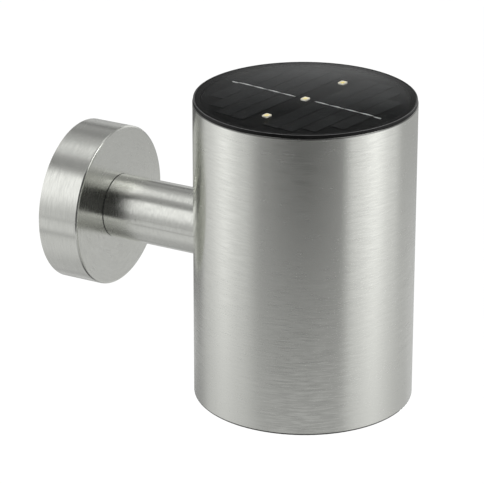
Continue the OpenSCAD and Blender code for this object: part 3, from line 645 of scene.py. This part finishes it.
def chip_phosphor():
    """The oval drop of phosphor in a chip's recess."""
    bm = bmesh.new()
    length, width, height = CHIP_SIZE
    stretch = ((length / 2 - CHIP_WALL) / (width / 2 - CHIP_WALL), 1)
    profile = dome(width / 2 - CHIP_WALL - CHIP_WALL_SLOPE / 2, PHOSPHOR_RISE)
    add_lathe(bm, profile, (0, 0, height - CHIP_RECESS), stretch, steps=40)
    return bm


def chip_solder_ends():
    """The tinned ends of a chip, at both of its short sides."""
    bm = bmesh.new()
    reach = CHIP_SIZE[0] / 2 - CHIP_END_INSET
    for side in (-1, 1):
        add_block(bm, CHIP_END_SIZE, (side * reach, 0, CHIP_END_SIZE[2] / 2), CHIP_END_BEVEL)
    return bm


def copies(make_part, places):
    """One bmesh with a small one at each place."""
    whole = bmesh.new()
    for place in places:
        part = make_part()
        part.transform(place)
        mesh = mesh_of("part", part)
        whole.from_mesh(mesh)
        bpy.data.meshes.remove(mesh)
    return whole


def make_top_chips():
    """White chip frames with yellow phosphor and tinned ends, in place of the plain blocks of top_leds."""
    places = [Matrix.Translation((column * CHIP_SPACING, 0, BOARD_TOP)) for column in (-1, 0, 1)]
    frames = copies(chip_frame, places)
    phosphor = copies(chip_phosphor, places)
    ends = copies(chip_solder_ends, places)
    made = piece("top_chip_frames", frames, "chip_frames", "solar_head", HEAD_PLACE)
    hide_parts("top_leds")
    piece("top_chip_phosphor", phosphor, "chip_phosphor", "solar_head", HEAD_PLACE)
    piece("top_chip_solder_ends", ends, "solder", "solar_head", HEAD_PLACE)


# The bus ribbons: half their width on a strip and at its ends, their height over the board at a
# strip's middle, at its ends and between two strips, and how far inside a strip they reach its end height
RIBBON_WIDE = 0.4 * MM
RIBBON_NARROW = 0.1 * MM
RIBBON_CROWN = STRIP_THICKNESS + 0.16 * MM
RIBBON_EDGE = STRIP_THICKNESS + 0.08 * MM
RIBBON_LOW = 0.12 * MM
RIBBON_INSET = 0.05 * MM

# A ribbon's section: shares of half its width across, and millimetres up
RIBBON_SECTION = ((-1, -0.08), (-0.75, -0.02), (0, 0), (0.75, -0.02), (1, -0.08), (1, -0.1), (-1, -0.1))

# The solder dot on a ribbon's outer end
SOLDER_DOT_RADIUS = 0.55 * MM
SOLDER_DOT_HEIGHT = 0.22 * MM
SOLDER_DOT_STRETCH = (1, 1.2)
SOLDER_DOT_INSET = 0.7 * MM


def ribbon_stations():
    """Along a ribbon from the middle outwards: distance, height over the board and half its width."""
    shoulder = (RIBBON_CROWN + RIBBON_EDGE) / 2
    shoulder_width = RIBBON_WIDE * 0.7
    stations = []
    for row in range(STRIP_ROWS):
        start = STRIP_START + row * STRIP_PITCH
        end = start + STRIP_WIDTH
        stations += [
            (start + RIBBON_INSET, RIBBON_EDGE, RIBBON_NARROW),
            (start + STRIP_WIDTH * 0.2, shoulder, shoulder_width),
            (start + STRIP_WIDTH * 0.4, RIBBON_CROWN, RIBBON_WIDE),
            (start + STRIP_WIDTH * 0.6, RIBBON_CROWN, RIBBON_WIDE),
            (start + STRIP_WIDTH * 0.8, shoulder, shoulder_width),
            (end - RIBBON_INSET, RIBBON_EDGE, RIBBON_NARROW),
            (end + (STRIP_PITCH - STRIP_WIDTH) / 2, RIBBON_LOW, RIBBON_NARROW),
        ]
    stations += [
        (STRIPS_END + 0.5 * MM, RIBBON_LOW, RIBBON_WIDE),
        (STRIPS_END + RIBBON_TAB, RIBBON_LOW, RIBBON_WIDE),
    ]
    return stations


def add_ribbon(bm, side):
    """The ribbon from the panel's middle to one edge: side is 1 or -1."""
    rows = []
    for along, height, half in ribbon_stations():
        rows.append([
            bm.verts.new((share * half, side * along, BOARD_TOP + height + rise * MM))
            for share, rise in RIBBON_SECTION
        ])
    count = len(RIBBON_SECTION)
    for near, far in zip(rows, rows[1:]):
        for i in range(count):
            j = (i + 1) % count
            bm.faces.new((near[i], near[j], far[j], far[i]))
    bm.faces.new(rows[0])
    bm.faces.new(rows[-1])


def make_ribbons():
    """Tinned ribbons, crowned on each strip and dipping between them, and their solder dots."""
    ribbons, solder = bmesh.new(), bmesh.new()
    dot = dome(SOLDER_DOT_RADIUS, SOLDER_DOT_HEIGHT)
    reach = STRIPS_END + RIBBON_TAB - SOLDER_DOT_INSET
    for side in (-1, 1):
        add_ribbon(ribbons, side)
        add_lathe(solder, dot, (0, side * reach, BOARD_TOP), SOLDER_DOT_STRETCH, steps=32)
    made = piece("bus_ribbon_strips", ribbons, "silver_ribbon", "solar_head", HEAD_PLACE)
    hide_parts("bus_ribbons")
    piece("ribbon_solder", solder, "solder", "solar_head", HEAD_PLACE)


# The glue line fills the gap round the glass and bites a little into glass and bezel
GLUE_WIDTH = 0.25 * MM
GLUE_BITE = 0.01 * MM

# The bead's own radius, and how far its middle lies in from the bezel's side
BEAD_THICKNESS = 0.09 * MM
BEAD_INSET = 0.12 * MM


def make_panel_edge():
    """The glue line between glass and lip, and the fine bright bead along the bezel's rim."""
    glue = bmesh.new()
    inner = GLASS_RADIUS - GLUE_BITE
    outer = GLASS_RADIUS + GLUE_WIDTH + GLUE_BITE
    # Its top is a little hollow and lies just under the top of the glass
    add_lathe(glue, [
        (inner, GLASS_LOW + 0.02 * MM),
        (outer, GLASS_LOW + 0.02 * MM),
        (outer, GLASS_HIGH - 0.03 * MM),
        ((inner + outer) / 2, GLASS_HIGH - 0.1 * MM),
        (inner, GLASS_HIGH - 0.04 * MM),
    ])
    piece("glass_glue_line", glue, "gloss_black", "solar_head", HEAD_PLACE)
    bead = bmesh.new()
    add_lathe(bead, circle_profile(BEZEL_RADIUS - BEAD_INSET, BEZEL_TOP - BEAD_THICKNESS, BEAD_THICKNESS))
    piece("bezel_bead", bead, "bright_bead", "solar_head", HEAD_PLACE)


# Studio

def ease(value, low, high):
    """0 below low, 1 above high and smooth between, for numbers."""
    share = min(max((value - low) / (high - low), 0), 1)
    return share * share * (3 - 2 * share)


def patch_share(value, ends, soft):
    """1 inside a patch of numbers, 0 outside it and smooth across its soft ends."""
    rise = ease(value, ends[0] - soft[0] / 2, ends[0] + soft[0] / 2)
    fall = ease(value, ends[1] - soft[1] / 2, ends[1] + soft[1] / 2)
    return rise * (1 - fall)


Cloth = namedtuple("Cloth", "brightness around soft_around up soft_up lean", defaults=(0,))

# Grey and white cloths that hang in the tent, each over the ones before it. Around goes from and to a
# direction in degrees and up from and to a height in metres, and the soft pairs are the widths of those
# edges. Lean shifts the cloth by so many degrees for each metre above its middle.
TENT_GREY = 0.6
TENT_CLOTHS = [
    Cloth(0.34, (0, 360), (1, 1), (0.3, 1.6), (0.4, 0.4)),
    # left of the lamp body, and round to the wall
    Cloth(0.12, (40, 84), (20, 16), (-0.52, 0.2), (0.06, 0.3)),
    Cloth(0.7, (88, 153), (36, 26), (-0.52, -0.12), (0.06, 0.2)),
    Cloth(1.05, (108, 132), (28, 28), (-0.52, -0.05), (0.06, 0.3)),
    # behind the camera
    Cloth(0.2, (155, 256), (26, 20), (-0.52, 1.2), (0.06, 0.4)),
    Cloth(0.01, (184, 232), (44, 44), (-0.455, 1.9), (0.15, 0.4)),
    Cloth(0.02, (168, 246), (30, 20), (0.5, 2.2), (0.4, 0.3)),
    # above the left cloths, with a grey bar low down and a dark one that leans under the highest
    Cloth(1.12, (116, 160), (20, 20), (0.16, 1.15), (0.6, 0.4)),
    Cloth(0.36, (136, 175), (16, 10), (-0.27, -0.21), (0.1, 0.1)),
    Cloth(1.25, (70, 112), (30, 20), (1.75, 2.5), (0.3, 0.1)),
    Cloth(0.08, (107, 135), (20, 20), (1.17, 1.87), (0.3, 0.2), -71),
    # above the right cloths, with the bright one that shows on the rosette's rim
    Cloth(1.0, (258, 300), (16, 20), (0.75, 2.5), (0.5, 0.1)),
    Cloth(3.6, (256, 302), (14, 14), (0.86, 1.44), (0.2, 0.2)),
    # right of the lamp body
    Cloth(0.78, (252, 312), (18, 20), (-0.52, 0.3), (0.06, 0.3)),
    Cloth(1.17, (270, 294), (26, 22), (-0.52, 0.2), (0.06, 0.4)),
    Cloth(0.4, (318, 400), (16, 20), (-0.44, 0.1), (0.14, 0.2)),
    # beyond the lamp body: a pale cloth, a black one that darkens the glass, and a grey one higher up
    Cloth(0.86, (330, 388), (30, 12), (0.1, 0.6), (0.1, 0.1)),
    Cloth(0.01, (378, 398), (10, 3), (0.454, 0.6), (0.08, 0.12)),
    Cloth(0.22, (37, 53), (14, 14), (0.9, 1.3), (0.3, 0.3)),
]

# The tent's size, the points round it, the rows of its wall and the rings of its table and lid
TENT_RADIUS = 1.2
TENT_FOOT = FLOOR_Z + 5 * MM
TENT_HEIGHT = 3
TENT_POINTS = 240
TENT_ROWS = 110
TENT_RINGS = 24


def cloth_brightness(direction, height):
    """The tent's wall: the cloths over its own grey."""
    bright = TENT_GREY
    for cloth in TENT_CLOTHS:
        leant = direction - cloth.lean * (height - sum(cloth.up) / 2)
        share = max(patch_share(leant + turn, cloth.around, cloth.soft_around) for turn in (-360, 0, 360))
        share *= patch_share(height, cloth.up, cloth.soft_up)
        bright += (cloth.brightness - bright) * share
    return bright


def table_brightness(direction, radius):
    """The pale sweep under the lamp: dark right below it, with softer patches round it."""
    bright = 0.05
    bright += 0.35 * ease(radius, 0.12, 0.3)
    bright += 0.22 * ease(radius, 0.3, 0.6)
    bright -= 0.05 * ease(radius, 0.8, 1.1)
    far_left = patch_share(direction, (40, 86), (24, 16)) * ease(radius, 0.7, 1)
    before_camera = patch_share(direction, (170, 262), (40, 30)) * (1 - ease(radius, 0.8, 1.1))
    under_camera = patch_share(direction, (188, 228), (30, 30)) * ease(radius, 0.8, 1)
    under_arm = patch_share(direction, (46, 68), (16, 12)) * patch_share(radius, (0.4, 0.58), (0.1, 0.1))
    sides = patch_share(direction, (84, 172), (24, 24)) + patch_share(direction, (308, 350), (16, 16))
    side_edges = sides * ease(radius, 0.99, 1.05)
    bright *= 1 - 0.6 * far_left - 0.28 * before_camera + 0.28 * under_camera
    return bright * (1 - 0.35 * under_arm) * (1 - 0.3 * side_edges)


def lid_brightness(direction, radius):
    """The cloth overhead: dark in its middle, pale at its edge, and dark towards the camera."""
    bright = 0.16 + 0.6 * ease(radius, 0.5, 1)
    before_camera = patch_share(direction, (164, 258), (30, 30)) * ease(radius, 0.3, 0.6)
    return bright + (0.06 - bright) * before_camera


def tent_mesh():
    """The tent's table, wall and lid in one, with the brightness of the cloths at its points."""
    bm = bmesh.new()
    glow = bm.verts.layers.float_color.new("glow")

    def ring(radius, height, bright_at):
        verts = []
        for point in range(TENT_POINTS):
            direction = 360 * point / TENT_POINTS
            angle = math.radians(direction)
            x = BODY_AXIS.x + radius * math.cos(angle)
            y = BODY_AXIS.y + radius * math.sin(angle)
            vert = bm.verts.new((x, y, height))
            vert[glow] = colour(grey(bright_at(direction)))
            verts.append(vert)
        return verts

    radii = [TENT_RADIUS * i / TENT_RINGS for i in range(1, TENT_RINGS)]
    heights = [TENT_FOOT + TENT_HEIGHT * i / TENT_ROWS for i in range(TENT_ROWS + 1)]
    rows = [ring(r, heights[0], lambda direction: table_brightness(direction, r)) for r in radii]
    rows += [ring(TENT_RADIUS, z, lambda direction: cloth_brightness(direction, z)) for z in heights]
    rows += [ring(r, heights[-1], lambda direction: lid_brightness(direction, r)) for r in reversed(radii)]
    for low, high in zip(rows, rows[1:]):
        for i in range(TENT_POINTS):
            j = (i + 1) % TENT_POINTS
            bm.faces.new((low[i], low[j], high[j], high[i]))
    bm.faces.new(rows[0])
    bm.faces.new(rows[-1])
    return mesh_of("reflection_tent", bm)


def emptied_tree(owner):
    """The node tree of a material or a world, with no nodes in it."""
    owner.use_nodes = True
    owner.node_tree.nodes.clear()
    return owner.node_tree


def make_tent():
    """A round tent of grey and white cloth that only gloss and glass show."""
    material = bpy.data.materials.new("tent_cloth")
    material.cycles.emission_sampling = "NONE"
    tree = emptied_tree(material)
    bright = add(tree, "ShaderNodeAttribute", attribute_name="glow").outputs["Color"]
    shine = add(tree, "ShaderNodeEmission", {"Color": bright, "Strength": 1})
    add(tree, "ShaderNodeOutputMaterial", {"Surface": shine.outputs[0]})
    tent = put_in_scene("reflection_tent", tent_mesh())
    tent.data.materials.append(material)
    tent.visible_camera = False
    tent.visible_diffuse = False
    tent.visible_shadow = False


def seen_directly(tree):
    """1 for camera, gloss and glass rays, and 0 for the rays that light the object."""
    path = add(tree, "ShaderNodeLightPath").outputs
    either = calc(tree, "MAXIMUM", path["Is Camera Ray"], path["Is Glossy Ray"])
    return calc(tree, "MAXIMUM", either, path["Is Transmission Ray"])


# How strongly the white surroundings light the object, and how strongly they show
SKY_LIGHT = 0.6
SKY_WHITE = 1

# The floor's matte tone, and the strength and the share of the white over it where it shows directly
FLOOR_TONE = 0.85
FLOOR_WHITE = 1.06
FLOOR_COVER = 0.9


def make_world():
    """White surroundings that light the object less strongly than they show."""
    world = bpy.data.worlds.new("studio")
    tree = emptied_tree(world)
    strength = blend_values(tree, seen_directly(tree), SKY_LIGHT, SKY_WHITE)
    sky = add(tree, "ShaderNodeBackground", {"Color": colour(grey(1)), "Strength": strength})
    add(tree, "ShaderNodeOutputWorld", {"Surface": sky.outputs[0]})
    bpy.context.scene.world = world


def make_floor():
    """A pale floor far below, white to the camera apart from the shadow on it, and clear from beneath."""
    material = bpy.data.materials.new("pale_floor")
    tree = emptied_tree(material)
    matte = add(tree, "ShaderNodeBsdfDiffuse", {"Color": colour(grey(FLOOR_TONE))})
    white = add(tree, "ShaderNodeEmission", {"Color": colour(grey(1)), "Strength": FLOOR_WHITE})
    share = calc(tree, "MULTIPLY", seen_directly(tree), FLOOR_COVER)
    top = add(tree, "ShaderNodeMixShader", {0: share, 1: matte.outputs[0], 2: white.outputs[0]})
    beneath = add(tree, "ShaderNodeNewGeometry").outputs["Backfacing"]
    clear = add(tree, "ShaderNodeBsdfTransparent")
    both = add(tree, "ShaderNodeMixShader", {0: beneath, 1: top.outputs[0], 2: clear.outputs[0]})
    add(tree, "ShaderNodeOutputMaterial", {"Surface": both.outputs[0]})
    bm = bmesh.new()
    bmesh.ops.create_grid(bm, x_segments=8, y_segments=8, size=12)
    floor = put_in_scene("pale_floor", mesh_of("pale_floor", bm))
    floor.data.materials.append(material)
    floor.location = (0, 0, FLOOR_Z)


def soft_lamp(name, place, size, watts):
    """A soft square lamp that points at the lamp body."""
    data = bpy.data.lights.new(name, "AREA")
    data.shape = "SQUARE"
    data.size = size
    data.energy = watts
    lamp = put_in_scene(name, data)
    lamp.location = place
    lamp.rotation_euler = facing_lamp(place)
    lamp.visible_glossy = False
    lamp.visible_transmission = False
    lamp.visible_camera = False


make_camera()

make_materials()
dress_nodes()
make_top_chips()
make_ribbons()
make_panel_edge()

make_world()
make_floor()
make_tent()
soft_lamp("lamp_left", (-1.4, 0.3, 1.2), size=1, watts=14)
soft_lamp("lamp_right", (0.4, -1.6, 1.0), size=1, watts=12)
soft_lamp("lamp_above", (0.1, -0.1, 1.7), size=1.2, watts=12)

bpy.context.scene.view_settings.view_transform = "Standard"
